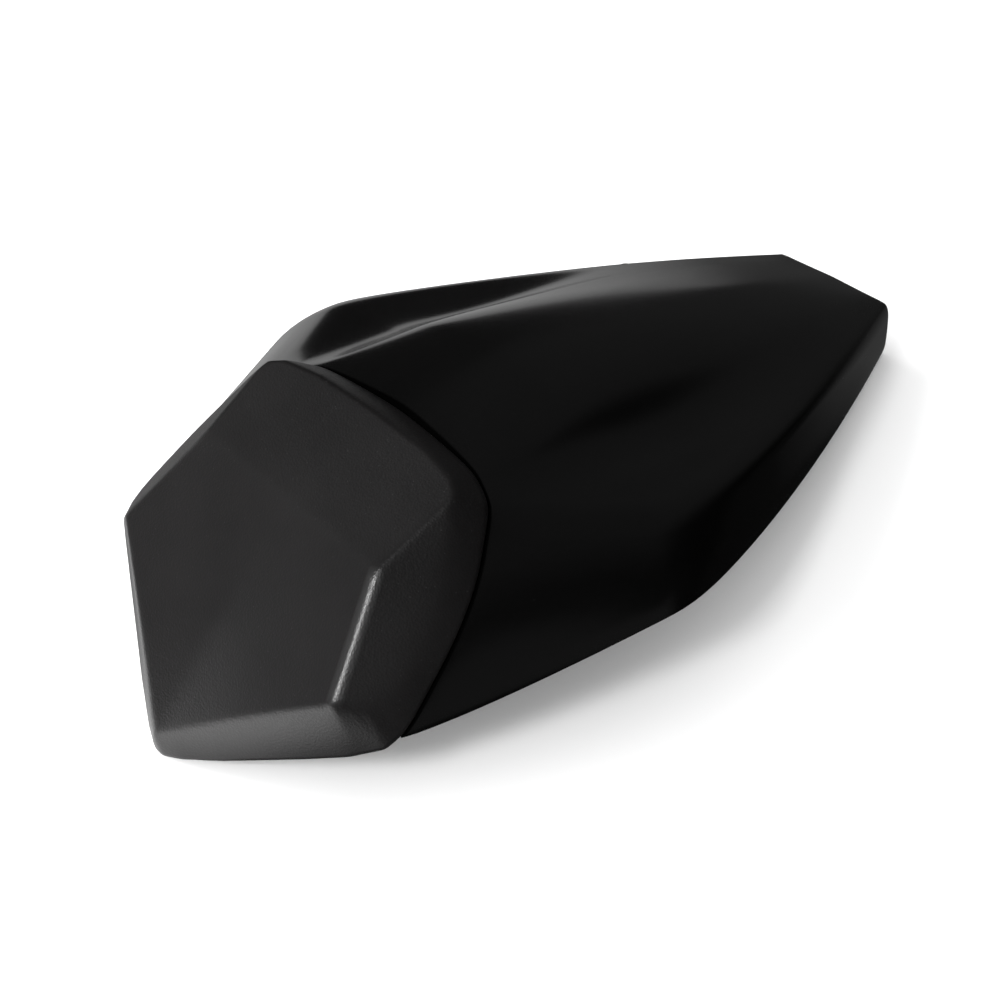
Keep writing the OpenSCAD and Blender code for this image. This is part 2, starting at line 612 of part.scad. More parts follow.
module rear_hook() {
    lip_top = -hook_sheet - hook_drop;
    lip_front = hook_plate_back - hook_reach;
    color("silver") difference() {
        translate([-hook_width / 2, hook_y, hook_seat_z]) rotate([90, 0, 90]) linear_extrude(hook_width)
            polygon([[-hook_plate_front, 0], [hook_plate_back, 0], [hook_plate_back, lip_top - hook_sheet],
                [lip_front + 3, lip_top - hook_sheet], [lip_front, lip_top - hook_sheet + 1],
                [lip_front, lip_top], [hook_plate_back - hook_sheet, lip_top],
                [hook_plate_back - hook_sheet, -hook_sheet], [-hook_plate_front, -hook_sheet]]);
        for (x = hook_screws_x) translate([x, hook_screw_y, 0])
            cylinder(d = hook_screw_d + 2 * hole_clearance, h = crown_height);
    }
}

module hook_screws() {
    color("dimgray") for (x = hook_screws_x) translate([x, hook_screw_y, hook_seat_z - hook_sheet])
        pan_head_screw(hook_screw_d, hook_screw_d * 0.5, hook_sheet + hook_screw_length - 1);
}

module rubber_buffer(place) {
    z = buffer_seat_z(place);
    color([0.07, 0.07, 0.07]) translate([place[0], place[1], z]) {
        rotate_extrude() polygon([[0, -buffer_height], [buffer_d / 2 - 2, -buffer_height],
            [buffer_d / 2, -buffer_height + 2], [buffer_d / 2, -1], [buffer_d / 2 - 1, 0], [0, 0]]);
        cylinder(d = buffer_stem_d, h = buffer_cap_z(place) - z + 0.5);
        translate([0, 0, buffer_cap_z(place) - z]) cylinder(d = buffer_cap_d, h = 2);
    }
}
module front_buffer_left() { mirror([1, 0, 0]) rubber_buffer(front_buffer_place); }
module front_buffer_right() { rubber_buffer(front_buffer_place); }
module rear_buffer_left() { mirror([1, 0, 0]) rubber_buffer(rear_buffer_place); }
module rear_buffer_right() { rubber_buffer(rear_buffer_place); }

outer_shell();
backrest_pad();
pad_carrier();
pad_washers();
pad_studs();
pad_nuts();
base_pan();
base_screws();
striker_bracket();
striker_pin();
striker_bolts();
striker_nuts();
rear_hook();
hook_screws();
front_buffer_left();
front_buffer_right();
rear_buffer_left();
rear_buffer_right();
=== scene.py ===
"""Looks of the seat cowl: gloss black lofted shell, soft faceted backrest pad, fittings beneath."""

import math

import bmesh
import bpy
import numpy as np
from mathutils import Euler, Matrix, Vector


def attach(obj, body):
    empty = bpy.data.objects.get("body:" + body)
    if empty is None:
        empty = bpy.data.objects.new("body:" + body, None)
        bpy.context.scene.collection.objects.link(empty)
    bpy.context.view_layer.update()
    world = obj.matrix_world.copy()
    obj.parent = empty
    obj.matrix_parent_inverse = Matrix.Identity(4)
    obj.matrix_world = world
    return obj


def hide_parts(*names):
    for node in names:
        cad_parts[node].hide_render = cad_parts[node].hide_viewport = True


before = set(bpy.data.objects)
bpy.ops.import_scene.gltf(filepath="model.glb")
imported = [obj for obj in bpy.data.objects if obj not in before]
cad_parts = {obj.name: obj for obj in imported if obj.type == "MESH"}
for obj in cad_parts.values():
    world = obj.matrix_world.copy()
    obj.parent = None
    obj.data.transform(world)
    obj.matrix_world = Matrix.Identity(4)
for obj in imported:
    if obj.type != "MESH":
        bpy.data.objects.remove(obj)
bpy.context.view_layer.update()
MM = 0.001

# Sizes of the cowl in millimetres, the same as in the part's source
WING_WIDTH, RIDGE_WIDTH, TAIL_WIDTH, COWL_LENGTH = 237, 186, 66, 404
CROWN_HEIGHT, RIDGE_HEIGHT, RIM_HEIGHT, TAIL_HEIGHT = 100, 78.5, 58, 33.5
HUMP_WIDTH, SHELL_WALL, RIDGE_ROUND = 110, 3, 8
VALLEY_START, VALLEY_END = 0.12, 0.75
JOINT_TOP_WIDTH, JOINT_LOW_WIDTH, JOINT_SIDE, JOINT_ARCH, PAD_POINT = 110, 164, 82, 8, 63
FRONT_Y = (1.95 - COWL_LENGTH) / 2
JOINT_Z = CROWN_HEIGHT - 10.73
JOINT_ANGLE = math.asin(JOINT_Z / (JOINT_SIDE + PAD_POINT))
JOINT_Y = FRONT_Y + (JOINT_SIDE + PAD_POINT) * math.cos(JOINT_ANGLE)
WIDEST_Y = FRONT_Y + COWL_LENGTH * 0.376
TAIL_Y = FRONT_Y + COWL_LENGTH
CREASE_SPAN = 0.13  # How far to both sides the guide lines are averaged
EDGE_ROLL, EDGE_ROLL_HEIGHT = 1.3, 9  # The wall's lower edge rolls inward by so much over so much
TAIL_BEVEL, SEAM_BEVEL, RIM_BEVEL = 4.5, 0.3, 0.8
FRONT_STATIONS, REAR_STATIONS, SMOOTH_ROUNDS = 46, 60, 3
PANEL_SINK = 0.6
BOSS_RADIUS = 4.5
BOSS_PLACES = ((-0.42, 59.8), (0.25, 48.2), (0.6, 31.0))  # Along the shell, and the height of the foot

# The pad in the joint plane: across and up the slope, in millimetres
PAD_DEPTH, PAD_AROUND, PAD_LIFT = 23.5, 400, 0.9
PAD_MIDDLE, PAD_BACK = (0, -58.0), (0, -62.4)
APEX, LOW_CORNER, LOW_CORNER_HEIGHT = (49.9, -41.2), (63.9, -85), 19.3
PAD_FOOT = ((0.963, 0.095), (0.841, 0.257), (0.671, 0.429),
            (0.32, 0.767), (0.126, 0.933), (0.03, 0.995))
PANEL_FOOT = ((0.99, 0.04),) + PAD_FOOT[:-1]
PAD_CREASE = ((0, 2.0), (30, 1.2), (47, -1.6), (52.8, -5.4), (57.8, -14.6), (64.6, -32),
              (69.5, -47), (72.6, -61.5), (73.6, -69), (73.2, -75), (70.6, -80),
              LOW_CORNER, (0, -138.2))
FACET_SOFTNESS, RIM_SOFTNESS = 0.42, 0.5

# Reach of two effects in metres: the pad's polished edge, and the painted shade behind the seam
RUBBED_REACH, SEAM_SHADE = 0.0034, (0.0004, 0.0008)

# The camera of the photograph: millimetres, metres and degrees
CAMERA_LENS, CAMERA_SENSOR = 50.4, 36
CAMERA_PLACE, CAMERA_DOWN, CAMERA_TURN = (0.32252, -0.33196, 0.40534), 41.046, 46.966


def mix(a, b, share):
    return a + (b - a) * share


def on_joint(across, up_slope, out):
    """A point of the sloping joint plane: across, up the slope, and out of it towards the rider."""
    return np.array((across,
                     JOINT_Y + up_slope * math.cos(JOINT_ANGLE) - out * math.sin(JOINT_ANGLE),
                     JOINT_Z + up_slope * math.sin(JOINT_ANGLE) + out * math.cos(JOINT_ANGLE)))


def in_joint(point):
    """The reverse of on_joint."""
    y, z = point[1] - JOINT_Y, point[2] - JOINT_Z
    return (point[0], y * math.cos(JOINT_ANGLE) + z * math.sin(JOINT_ANGLE),
            z * math.cos(JOINT_ANGLE) - y * math.sin(JOINT_ANGLE))


# The six lines that the right half of the shell runs along: the place at the joint, the widest
# place and the one at the tail, with how early or late x, y and z change before and after it
WALL_X = (WING_WIDTH + RIDGE_WIDTH) / 4 + 1.5
LINES = {
    "crown": (on_joint(0, JOINT_ARCH, 0), (0, WIDEST_Y + 19, CROWN_HEIGHT),
              (0, TAIL_Y - 8, TAIL_HEIGHT + 0.6), (1, 1, 0.5), (1, 1, 1.3)),
    "shoulder": (on_joint(JOINT_TOP_WIDTH * 0.36, JOINT_ARCH * 0.75, 0),
                 (HUMP_WIDTH * 0.32, WIDEST_Y + 19, CROWN_HEIGHT - 3.8),
                 (TAIL_WIDTH * 0.3, TAIL_Y - 8, TAIL_HEIGHT), (1, 1, 0.6), (1.2, 1, 1.3)),
    "valley": (on_joint(JOINT_TOP_WIDTH * 0.475, 0.8, 0),
               (HUMP_WIDTH / 2, WIDEST_Y + 17, RIDGE_HEIGHT - 0.4),
               (TAIL_WIDTH * 0.36, TAIL_Y - 8, TAIL_HEIGHT), (1, 1, 1), (3.2, 1, 0.87)),
    "ridge": (on_joint(JOINT_TOP_WIDTH * 0.525, -3, 0),
              (RIDGE_WIDTH / 2, WIDEST_Y + 14, RIDGE_HEIGHT),
              (TAIL_WIDTH / 2, TAIL_Y - 7, TAIL_HEIGHT - 1), (0.8, 1, 0.6), (1.55, 1, 0.965)),
    "wall": (on_joint(JOINT_LOW_WIDTH * 0.457, -JOINT_SIDE * 0.4, 0),
             (WALL_X, WIDEST_Y + 7, (RIDGE_HEIGHT + RIM_HEIGHT) / 2 + 1),
             (TAIL_WIDTH / 2 + 0.5, TAIL_Y - 4, TAIL_HEIGHT / 2), (0.9, 1, 1), (1.2, 1, 1)),
    "rim": (on_joint(JOINT_LOW_WIDTH / 2, -JOINT_SIDE, 0),
            (WING_WIDTH / 2, WIDEST_Y, RIM_HEIGHT),
            (TAIL_WIDTH / 2 - 1, TAIL_Y, 0), (0.9, 1, 1.2), (1.22, 1, 1.03)),
}


def line_point(name, s):
    """A guide line's point at s, which is -1 at the joint, 0 at the widest place and 1 at the tail."""
    joint, widest, tail, front_power, rear_power = (np.array(part, float) for part in LINES[name])
    if s < 0:
        return mix(joint, widest, max(0.0, 1 + s) ** front_power)
    return mix(widest, tail, min(1.0, s) ** rear_power)


def guide_points(s):
    """The six guide points at s; behind the wings the valley rises into a straight slope."""
    crown, shoulder, valley, ridge, wall, rim = (line_point(name, s) for name in LINES)
    share = max(0.0, min(1.0, (s - VALLEY_START) / (VALLEY_END - VALLEY_START)))
    share = share * share * (3 - 2 * share)
    valley = mix(valley, mix(shoulder, ridge, 0.5) + np.array((0, 0, 0.3)), share)
    return np.array((crown, shoulder, valley, ridge, wall, rim))


def soft_guides(s):
    """The guide points averaged a little way round, so that the widest place is a soft crease."""
    span = min(CREASE_SPAN, 1 - abs(s))
    if span < 1e-4:
        return guide_points(s)
    steps = np.linspace(-1, 1, 17)[1:-1]
    shares = 1 + np.cos(math.pi * steps)
    return sum(w * guide_points(s + span * t) for t, w in zip(steps, shares)) / shares.sum()


def rounded(before, corner, after, back, ahead, steps):
    """Points of a curve that cuts a corner, from a share of the way back to a share ahead."""
    start, end = mix(corner, before, back), mix(corner, after, ahead)
    return [mix(mix(start, corner, f), mix(corner, end, f), f) for f in np.linspace(0, 1, steps + 1)]


def run(a, b, count):
    """Evenly spaced points between two, without both ends."""
    return [mix(a, b, k / (count + 1)) for k in range(1, count + 1)]


def section(s):
    """One cross-section of the shell, from the left lower edge over the crown to the right one."""
    g = soft_guides(s)
    mirror = np.array((-1, 1, 1))
    ridge_back = min(0.45, RIDGE_ROUND / np.linalg.norm(g[3] - g[2]))
    ridge_ahead = min(0.45, RIDGE_ROUND / np.linalg.norm(g[4] - g[3]))
    crown = rounded(g[1] * mirror, g[0], g[1], 0.2, 0.2, 4)[2:]
    shoulder = rounded(g[0], g[1], g[2], 0.8, 0.5, 11)
    valley = rounded(g[1], g[2], g[3], 0.45, 0.42, 9)
    ridge = rounded(g[2], g[3], g[4], ridge_back, ridge_ahead, 9)
    wall = rounded(g[3], g[4], g[5], 0.5, 0.5, 7)
    foot = run(wall[-1], g[5], 6) + [g[5]]
    rolled = [max(0.0, 1 - np.linalg.norm(p - g[5]) / EDGE_ROLL_HEIGHT) ** 2 for p in foot]
    foot = [p - np.array((EDGE_ROLL * share, 0, 0)) for p, share in zip(foot, rolled)]
    half = (crown + shoulder[1:] + valley + run(valley[-1], ridge[0], 4) + ridge
            + run(ridge[-1], wall[0], 3) + wall + foot)
    half = [np.array((p[0], p[1], max(p[2], 0.0))) for p in half]
    return [p * mirror for p in half[:0:-1]] + half


# Making objects and giving them their finish


def smooth(mesh):
    for face in mesh.polygons:
        face.use_smooth = True


def new_object(name, bm, slot=None, node=None, finish=None):
    """An object from a bmesh; where a slot is given it hangs under the root body, and where a node is
    given it hides that node and stands in its place.
    """
    mesh = bpy.data.meshes.new(name)
    bm.to_mesh(mesh)
    bm.free()
    piece = bpy.data.objects.new(name, mesh)
    bpy.context.scene.collection.objects.link(piece)
    if finish:
        mesh.materials.append(finish)
    if slot:
        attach(piece, "root")
    if node:
        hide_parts(node)
    smooth(mesh)
    return piece


def apply_modifiers(piece):
    """Replaces the piece's mesh by what its modifiers make of it."""
    graph = bpy.context.evaluated_depsgraph_get()
    made = bpy.data.meshes.new_from_object(piece.evaluated_get(graph))
    old, piece.data = piece.data, made
    piece.modifiers.clear()
    bpy.data.meshes.remove(old)
    smooth(made)


class Shader:
    """Small helper that adds nodes to one node tree and joins them."""

    def __init__(self, tree):
        self.tree = tree

    def add(self, kind, values=None, **settings):
        """A new node with its inputs, given by name or by number, and its settings."""
        node = self.tree.nodes.new(kind)
        for key, value in settings.items():
            setattr(node, key, value)
        for key, value in (values or {}).items():
            self.feed(node, key, value)
        return node

    def feed(self, node, key, value):
        """Joins a socket to a node's input, or sets the input to a constant."""
        if isinstance(value, bpy.types.NodeSocket):
            self.tree.links.new(value, node.inputs[key])
        else:
            node.inputs[key].default_value = value

    def blend(self, share, low, high):
        """A colour between two, by the share of the second."""
        mixer = self.add("ShaderNodeMix", data_type="RGBA")
        for key, value in ((0, share), (6, low), (7, high)):
            self.feed(mixer, key, value)
        return mixer.outputs[2]

    def spread(self, value, from_low, from_high, to_low, to_high):
        """The value, taken from one range to another and held within it."""
        return self.add("ShaderNodeMapRange", {
            "Value": value, "From Min": from_low, "From Max": from_high,
            "To Min": to_low, "To Max": to_high}).outputs["Result"]

    def maths(self, operation, *values):
        return self.add("ShaderNodeMath", dict(enumerate(values)), operation=operation).outputs[0]

    def vector(self, operation, first, second=None, result=0):
        values = {0: first} if second is None else {0: first, 1: second}
        return self.add("ShaderNodeVectorMath", values, operation=operation).outputs[result]

    def product(self, *values):
        whole = values[0]
        for value in values[1:]:
            whole = self.maths("MULTIPLY", whole, value)
        return whole

    def noise(self, vector, scale, detail, **more):
        return self.add("ShaderNodeTexNoise", {"Vector": vector, "Scale": scale, "Detail": detail,
                                               **more}).outputs["Fac"]

    def group(self, tree, **values):
        return self.add("ShaderNodeGroup", node_tree=tree, values=values).outputs

    def bump(self, surface, height, strength, depth):
        raised = self.add("ShaderNodeBump", {"Height": height, "Strength": strength,
                                             "Distance": depth})
        self.feed(surface, "Normal", raised.outputs["Normal"])


def effect(name, inputs, outputs):
    """A new shader node group with its sockets; returns the group, its helper and its two ends."""
    group = bpy.data.node_groups.new(name, "ShaderNodeTree")
    for label, kind, value in inputs:
        socket = group.interface.new_socket(name=label, in_out="INPUT", socket_type=kind)
        if value is not None:
            socket.default_value = value
    for label in outputs:
        group.interface.new_socket(name=label, in_out="OUTPUT", socket_type="NodeSocketFloat")
    shader = Shader(group)
    return group, shader, shader.add("NodeGroupInput").outputs, shader.add("NodeGroupOutput").inputs


def make_grain():
    """Fine moulded grain: pebbles with small peaks between them, as a height from 0 to 1."""
    group, sh, given, result = effect("moulded_grain", (
        ("Vector", "NodeSocketVector", None), ("Scale", "NodeSocketFloat", 1200.0),
        ("Peaks", "NodeSocketFloat", 0.4)), ("Height", "Cloud"))
    pebbles = sh.add("ShaderNodeTexVoronoi", {"Vector": given["Vector"], "Scale": given["Scale"]},
                     feature="F1").outputs["Distance"]
    dome = sh.spread(pebbles, 0.0, 0.75, 1.0, 0.0)
    peaks = sh.noise(given["Vector"], given["Scale"], 3.0, Roughness=0.6)
    cloud = sh.noise(given["Vector"], 26.0, 4.0, Roughness=0.55)
    height = sh.add("ShaderNodeMix", {0: given["Peaks"], 2: dome, 3: peaks}, data_type="FLOAT")
    sh.tree.links.new(height.outputs[0], result["Height"])
    sh.tree.links.new(sh.spread(cloud, 0.35, 0.65, 0.0, 1.0), result["Cloud"])
    return group


def make_handling():
    """Marks of use on a smooth surface: wiped smudges, hair scratches and light specks, which are dust
    on the shell and partly painted sparkle on the pad.
    """
    group, sh, given, result = effect("handling_marks", (
        ("Vector", "NodeSocketVector", None), ("Scale", "NodeSocketFloat", 1.0)),
        ("Smudge", "Scratch", "Dust_and_sparkle"))

    def stretched(turn, scale):
        return sh.add("ShaderNodeMapping", {"Vector": given["Vector"], "Rotation": turn,
                                            "Scale": scale}).outputs["Vector"]

    def sized(scale):
        return sh.maths("MULTIPLY", given["Scale"], scale)

    wiped = stretched((0.2, 0.1, 0.6), (1.0, 0.35, 1.0))
    hair = stretched((0.0, 0.3, 0.9), (1.0, 0.02, 0.4))
    smudge = sh.noise(wiped, sized(14.0), 5.0, Roughness=0.62, Distortion=0.6)
    scratch = sh.noise(hair, sized(900.0), 1.0)
    specks = sh.add("ShaderNodeTexVoronoi", {"Vector": given["Vector"], "Scale": sized(240.0),
                                             "Randomness": 1.0}).outputs["Distance"]
    sh.tree.links.new(sh.spread(smudge, 0.42, 0.68, 0.0, 1.0), result["Smudge"])
    sh.tree.links.new(sh.spread(scratch, 0.70, 0.76, 0.0, 1.0), result["Scratch"])
    sh.tree.links.new(sh.spread(specks, 0.05, 0.09, 1.0, 0.0), result["Dust_and_sparkle"])
    return group


GRAIN, HANDLING = make_grain(), make_handling()


def material(name):
    """A new material; returns it with its helper, its surface, the place on the object and its end."""
    made = bpy.data.materials.new(name)
    made.use_nodes = True
    made.node_tree.nodes.clear()
    sh = Shader(made.node_tree)
    surface = sh.add("ShaderNodeBsdfPrincipled")
    end = sh.add("ShaderNodeOutputMaterial", {"Surface": surface.outputs["BSDF"]})
    place = sh.add("ShaderNodeTexCoord").outputs["Object"]
    return made, sh, surface, place, end


def grey(level):
    return (level, level, level, 1)


def gloss_shell():
    """Deep gloss black moulding with a thin clear coat, a trace of dust and faint waviness."""
    made, sh, surface, place, _ = material("shell_gloss_black")
    marks = sh.group(HANDLING, Vector=place, Scale=1.0)
    worn = sh.blend(marks["Smudge"], grey(0.0004), grey(0.0007))
    sh.feed(surface, "Base Color", sh.blend(sh.product(marks["Dust_and_sparkle"], 0.045), worn, grey(0.03)))
    rough = sh.spread(marks["Smudge"], 0, 1, 0.19, 0.25)
    sh.feed(surface, "Roughness", sh.maths("ADD", rough, sh.product(marks["Scratch"], 0.04)))
    sh.feed(surface, "IOR", 1.46)
    sh.feed(surface, "Coat Roughness", 0.12)
    # Painted shade: within a hair of the seam the shell's shine and coat are taken away, standing in
    # for the pad's shadow on its rim
    facing = Vector(on_joint(0, 0, 1)) - Vector(on_joint(0, 0, 0))
    seam_level = Vector(on_joint(0, 0, 0)).dot(facing) * MM
    level = sh.vector("DOT_PRODUCT", place, tuple(facing), "Value")
    beyond_seam_shade = sh.spread(sh.maths("SUBTRACT", seam_level, level), *SEAM_SHADE, 0.0, 1.0)
    sh.feed(surface, "Specular IOR Level", sh.product(beyond_seam_shade, 0.5))
    sh.feed(surface, "Coat Weight", sh.product(beyond_seam_shade, 0.25))
    sh.bump(surface, sh.noise(place, 260.0, 1.5), 0.05, 0.00012)
    return made


def rubbed_edge(sh, place, start, end, reach):
    """A mask that is 1 along the straight edge between two places on the pad, which hands polish."""
    a, b = Vector(on_joint(*start)) * MM, Vector(on_joint(*end)) * MM
    along, length = (b - a).normalized(), (b - a).length
    gap = sh.vector("SUBTRACT", place, a)
    beside = sh.vector("LENGTH", sh.vector("CROSS_PRODUCT", gap, along), result="Value")
    way = sh.vector("DOT_PRODUCT", gap, along, "Value")
    return sh.product(sh.spread(beside, reach * 0.3, reach, 1.0, 0.0),
                      sh.spread(way, -0.002, 0.003, 0.0, 1.0),
                      sh.spread(way, length - 0.003, length + 0.001, 1.0, 0.0))


def pad_skin():
    """Matte black soft moulding, finely stippled, polished along its most handled edge."""
    made, sh, surface, place, _ = material("pad_stippled_black")
    grain = sh.group(GRAIN, Vector=place, Scale=1150.0, Peaks=0.45)
    marks = sh.group(HANDLING, Vector=place, Scale=1.6)
    worn = sh.blend(grain["Cloud"], (0.0046, 0.0043, 0.0044, 1), (0.0061, 0.0057, 0.0058, 1))
    # The light specks on the pad are partly dust and partly painted sparkle standing in for the
    # stipple's highlights.
    sh.feed(surface, "Base Color", sh.blend(sh.product(marks["Dust_and_sparkle"], 0.25), worn, grey(0.06)))
    rubbed = rubbed_edge(sh, place, APEX + (PAD_DEPTH,), LOW_CORNER + (LOW_CORNER_HEIGHT,),
                         RUBBED_REACH)
    rough = sh.spread(grain["Height"], 0, 1, 0.47, 0.33)
    sh.feed(surface, "Roughness", sh.maths("SUBTRACT", rough, sh.product(rubbed, 0.04)))
    sh.feed(surface, "Specular IOR Level", sh.spread(rubbed, 0, 1, 0.19, 1.0))
    sh.bump(surface, grain["Height"], 0.45, 0.0002)
    return made


def grained(name, scale, peaks, dark, light, roughness, strength, depth):
    """Black plastic or rubber with a moulded grain."""
    made, sh, surface, place, _ = material(name)
    grain = sh.group(GRAIN, Vector=place, Scale=scale, Peaks=peaks)
    sh.feed(surface, "Base Color", sh.blend(grain["Cloud"], dark, light))
    sh.feed(surface, "Roughness", sh.spread(grain["Height"], 0, 1, *roughness))
    sh.bump(surface, grain["Height"], strength, depth)
    return made


def zinc_steel():
    """Bright zinc plated steel with smudges and hair scratches."""
    made, sh, surface, place, _ = material("zinc_plated_steel")
    marks = sh.group(HANDLING, Vector=place, Scale=4.0)
    clean, dull = (0.60, 0.60, 0.58, 1), (0.50, 0.51, 0.53, 1)
    sh.feed(surface, "Base Color", sh.blend(marks["Smudge"], clean, dull))
    sh.feed(surface, "Metallic", 1.0)
    rough = sh.spread(marks["Smudge"], 0, 1, 0.26, 0.42)
    sh.feed(surface, "Roughness", sh.maths("ADD", rough, sh.product(marks["Scratch"], 0.12)))
    sh.bump(surface, marks["Scratch"], 0.12, 0.00005)
    return made


def black_steel():
    """Black coated screws, whose coat the scratches wear through."""
    made, sh, surface, place, _ = material("black_coated_steel")
    marks = sh.group(HANDLING, Vector=place, Scale=6.0)
    sh.feed(surface, "Base Color", sh.blend(marks["Scratch"], grey(0.022), grey(0.16)))
    sh.feed(surface, "Roughness", sh.spread(marks["Smudge"], 0, 1, 0.32, 0.5))
    return made


FINISHES = {
    "shell_gloss": gloss_shell(),
    "pad_skin": pad_skin(),
    "pan_plastic": grained("pan_textured_black", 900.0, 0.7, (0.016, 0.016, 0.017, 1),
                           (0.024, 0.024, 0.025, 1), (0.62, 0.50), 0.3, 0.00018),
    "zinc_steel": zinc_steel(),
    "black_steel": black_steel(),
    "buffer_rubber": grained("buffer_rubber_black", 700.0, 0.8, (0.014, 0.014, 0.014, 1),
                             (0.022, 0.022, 0.021, 1), (0.85, 0.68), 0.2, 0.00015),
}


# The shell: sections bridged by extruding one into the next, then given its wall and soft edges


def right_half(points):
    """The half of a section from the crown to the right lower edge, in the joint plane."""
    return [in_joint(p)[:2] for p in points[len(points) // 2:]]


def new_verts(geometry):
    return [g for g in geometry if isinstance(g, bmesh.types.BMVert)]


def bevel(bm, edges, width, segments):
    bmesh.ops.bevel(bm, geom=edges, offset=width * MM, offset_type="OFFSET", segments=segments,
                    profile=0.5, affect="EDGES", material=-1, clamp_overlap=True)


def lofted_skin():
    """The shell's outer skin, open at the pad and beneath, closed at the tail."""
    stations = [-1 + (k / FRONT_STATIONS) ** 1.45 for k in range(FRONT_STATIONS)]
    stations += [k / REAR_STATIONS for k in range(REAR_STATIONS + 1)]
    bm = bmesh.new()
    order = bm.verts.layers.int.new("order")
    row = [bm.verts.new(p * MM) for p in section(stations[0])]
    for k, vertex in enumerate(row):
        vertex[order] = k
    edges = [bm.edges.new(pair) for pair in zip(row, row[1:])]
    for s in stations[1:]:
        points = section(s)
        grown = bmesh.ops.extrude_edge_only(bm, edges=edges)["geom"]
        for vertex in new_verts(grown):
            vertex.co = points[vertex[order]] * MM
        edges = [g for g in grown if isinstance(g, bmesh.types.BMEdge)
                 and abs(g.verts[0][order] - g.verts[1][order]) == 1]
    inner = [v for v in bm.verts if not v.is_boundary]
    for _ in range(SMOOTH_ROUNDS):
        bmesh.ops.smooth_vert(bm, verts=inner, factor=0.5,
                              use_axis_x=True, use_axis_y=True, use_axis_z=True)
    # The tail's end is one face inside the last section, with a soft edge round its top and sides
    ends = sorted((v for e in edges for v in e.verts), key=lambda v: v[order])
    tail_foot = bm.edges.new((ends[0], ends[-1]))
    bmesh.ops.contextual_create(bm, geom=edges + [tail_foot])
    bevel(bm, edges, TAIL_BEVEL, 7)
    bmesh.ops.recalc_face_normals(bm, faces=bm.faces)
    if sum(f.normal.z * f.calc_area() for f in bm.faces) < 0:
        bmesh.ops.reverse_faces(bm, faces=bm.faces)
    return bm


def add_plate(bm, outline, thickness, place):
    """A flat plate of the given outline, placed by a function of across, up and out."""
    plate = bm.faces.new([bm.verts.new(Vector(place(u, w, 0)) * MM) for u, w in outline])
    grown = bmesh.ops.extrude_face_region(bm, geom=[plate])["geom"]
    shift = (Vector(place(0, 0, -thickness)) - Vector(place(0, 0, 0))) * MM
    bmesh.ops.translate(bm, verts=new_verts(grown), vec=shift)


def add_front_panel(bm):
    """The panel behind the pad, a little inside the joint's outline."""
    half = [(u * 0.985, w - 0.6) for u, w in right_half(section(-1))[::3] if w > -JOINT_SIDE + 1]
    half += [(JOINT_LOW_WIDTH / 2 * a - 6.2, -JOINT_SIDE - PAD_POINT * b + 4) for a, b in PANEL_FOOT]
    half.append((0, -JOINT_SIDE - PAD_POINT + 6.5))
    outline = half + [(-u, w) for u, w in half[-2:0:-1]]
    add_plate(bm, outline, SHELL_WALL, lambda u, w, out: tuple(on_joint(u, w, out - PANEL_SINK)))


def add_bosses(bm):
    """The screw bosses under the wings."""
    for s, foot_z in BOSS_PLACES:
        _, _, valley, ridge, _, _ = soft_guides(s)
        place = mix(valley, ridge, 0.5)
        top = place[2] - SHELL_WALL * 0.62
        for side in (-1, 1):
            boss = bmesh.ops.create_cone(bm, cap_ends=True, segments=28, radius1=BOSS_RADIUS * MM,
                                         radius2=BOSS_RADIUS * MM, depth=(top - foot_z) * MM)["verts"]
            middle = Vector((side * place[0], place[1], (top + foot_z) / 2))
            bmesh.ops.translate(bm, verts=boss, vec=middle * MM)


def make_shell():
    piece = new_object("shell_body", lofted_skin(), "shell_gloss", "outer_shell",
                       FINISHES["shell_gloss"])
    wall = piece.modifiers.new("wall", "SOLIDIFY")
    wall.thickness = SHELL_WALL * MM
    wall.offset = -1
    wall.use_even_offset = True
    apply_modifiers(piece)
    bm = bmesh.new()
    bm.from_mesh(piece.data)
    for at_seam, width in ((True, SEAM_BEVEL), (False, RIM_BEVEL)):
        sharp = [e for e in bm.edges if e.is_manifold and e.calc_face_angle() > math.radians(48)
                 and (max(abs(in_joint(v.co / MM)[2]) for v in e.verts) < 2.5) == at_seam]
        bevel(bm, sharp, width, 3)
    add_front_panel(bm)
    add_bosses(bm)
    bm.to_mesh(piece.data)
    bm.free()
    piece.data.set_sharp_from_angle(angle=math.radians(50))
    smooth(piece.data)


# The pad: rings from its outline inwards, at the height of the soft least of facets and rim


def pad_outline(count):
    """The pad's outline in the joint plane, evenly spaced and with softly rounded corners."""
    half = right_half(section(-1))
    half += [(JOINT_LOW_WIDTH / 2 * a, -JOINT_SIDE - PAD_POINT * b) for a, b in PAD_FOOT]
    loop = np.array(half + [(-u, w) for u, w in half[:0:-1]] + [half[0]])
    way = np.concatenate(([0], np.cumsum(np.linalg.norm(np.diff(loop, axis=0), axis=1))))
    steps = np.arange(count) / count * way[-1]
    even = np.column_stack([np.interp(steps, way, loop[:, k]) for k in (0, 1)])
    for _ in range(2):
        even = (np.roll(even, 1, 0) + 2 * even + np.roll(even, -1, 0)) / 4
    return even


def to_line(points, line):
    """Distance from each point to a closed line, and the nearest place as a share and an index."""
    start, end = line, np.roll(line, -1, 0)
    along = end - start
    share = np.clip(((points[:, None] - start) * along).sum(2) / (along ** 2).sum(1), 0, 1)
    gap = np.linalg.norm(points[:, None] - (start + share[..., None] * along), axis=2)
    nearest = gap.argmin(1)
    rows = np.arange(len(points))
    return gap[rows, nearest], share[rows, nearest], nearest


def soft_least(heights, softness):
    """The least of several heights, with its corners rounded."""
    heights = np.array(heights)
    least = heights.min(0)
    return least - softness * np.log(np.exp((least - heights) / softness).sum(0))


